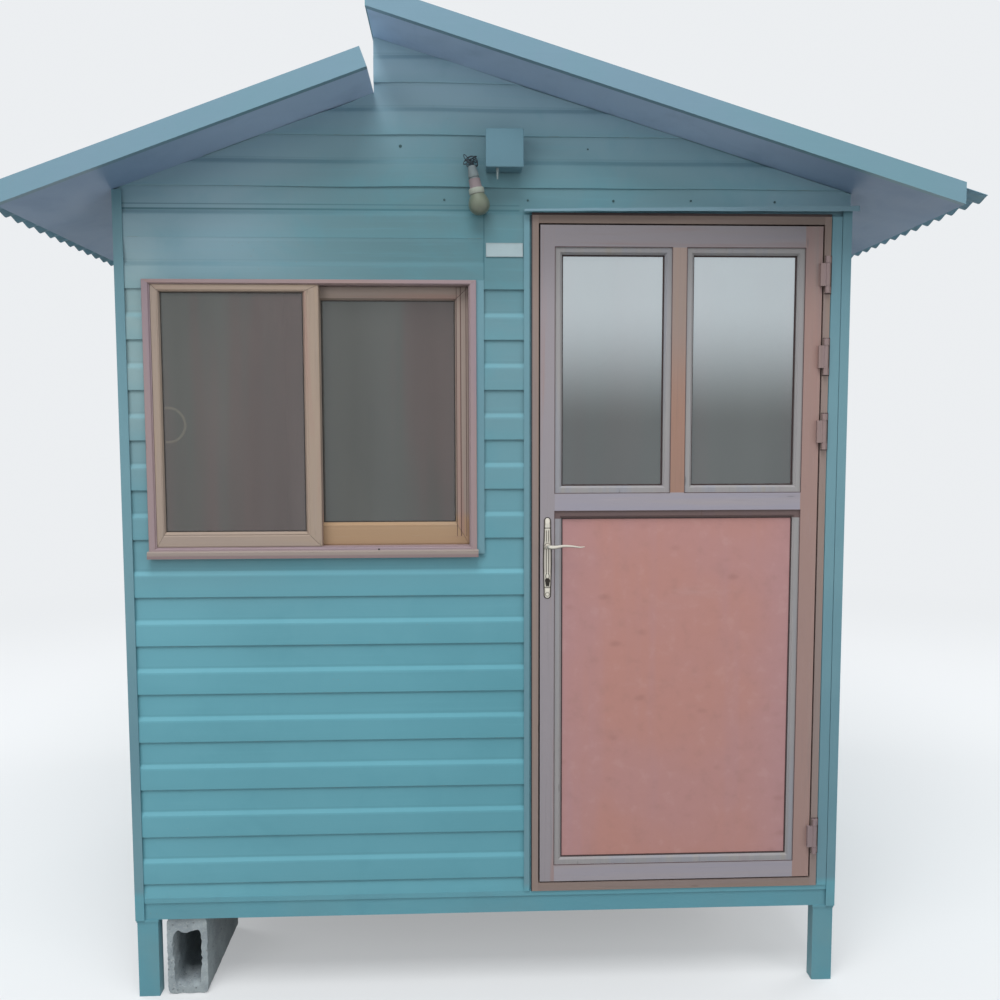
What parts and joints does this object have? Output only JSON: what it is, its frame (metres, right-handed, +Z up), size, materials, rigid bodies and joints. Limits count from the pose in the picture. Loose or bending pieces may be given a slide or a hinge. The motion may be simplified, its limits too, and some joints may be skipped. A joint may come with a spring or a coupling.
{
  "type": "portable site cabin",
  "caption": "Clad site cabin on four steel legs with a two-level corrugated roof, a sliding window, a glazed door that opens outwards and a lever handle.",
  "frame": {"origin": "on the ground, at the middle of the cabin's plan", "axes": "+Z up, the front with the door and the window faces -Y, +X to the right as seen from the front"},
  "size_m": [2.866, 2.8, 2.993],
  "materials": {
    "teal_paint": "brushed-on gloss paint, weathered",
    "teal_cladding": "lapped cladding boards in weathered teal paint",
    "roof_sheet": "corrugated sheet, painted teal, dusty",
    "floor_board": "plain boarded floor",
    "block_concrete": "rough cement block",
    "foil_frame": "faded mauve-brown wood foil",
    "foil_sash": "faded tan wood foil",
    "panel_foil": "faded salmon wood foil with darker flecks",
    "glass": "clear, slightly dusty",
    "pull_plastic": "pale grey",
    "handle_metal": "satin champagne plating, worn",
    "hook_steel": "dark weathered steel",
    "holder_plastic": "faded pinkish grey",
    "dusty_glass": "olive, dusty",
    "plate_enamel": "white, slightly soiled"
  },
  "bodies": {
    "cabin": {"cross_beams": "teal_paint", "side_beams": "teal_paint", "floor_joists": "teal_paint", "floor_deck": "floor_board", "legs": "teal_paint", "support_block": "block_concrete", "front_wall_left": "teal_cladding", "front_wall_right": "teal_cladding", "front_gable": "teal_cladding", "back_wall": "teal_cladding", "left_wall": "teal_cladding", "right_wall": "teal_cladding", "step_wall": "teal_cladding", "right_roof_deck": "teal_paint", "left_roof_deck": "teal_paint", "fascias": "teal_paint", "right_roof_sheet": "roof_sheet", "left_roof_sheet": "roof_sheet", "step_flashing": "teal_paint", "door_head_drip": "teal_paint", "corner_trims": "teal_paint", "side_trims": "teal_paint", "window_frame": "foil_frame", "window_sill": "foil_frame", "left_sash": "foil_sash", "right_sash": "foil_sash", "window_glass": "glass", "window_pull": "pull_plastic", "door_jambs": "foil_frame", "door_sill": "foil_frame", "door_head": "foil_frame", "door_hinges_frame": "foil_frame", "junction_box": "teal_paint", "lamp_hook": "hook_steel", "lamp_holder": "holder_plastic", "lamp_bulb": "dusty_glass", "number_plate": "plate_enamel"},
    "door": {"door_stiles": "foil_sash", "door_rails": "foil_sash", "door_mullion": "foil_sash", "door_glass": "glass", "door_panel": "panel_foil", "door_beads": "foil_sash", "door_hinges_leaf": "foil_frame", "handle_plates": "handle_metal", "lock_cylinder": "handle_metal"},
    "lever": {"door_levers": "handle_metal"}
  },
  "joints": [
    {"name": "door_hinge", "type": "hinge", "parent": "cabin", "child": "door", "pos_m": [1.0305, -1.212, 1.3695], "axis": [0, 0, 1], "range_deg": [0, 110]},
    {"name": "lever_turn", "type": "hinge", "parent": "door", "child": "lever", "pos_m": [0.18, -1.1815, 1.42], "axis": [0, 1, 0], "range_deg": [0, 40], "stiffness_Nm_per_rad": 1.5, "springref_deg": -20.05}
  ]
}
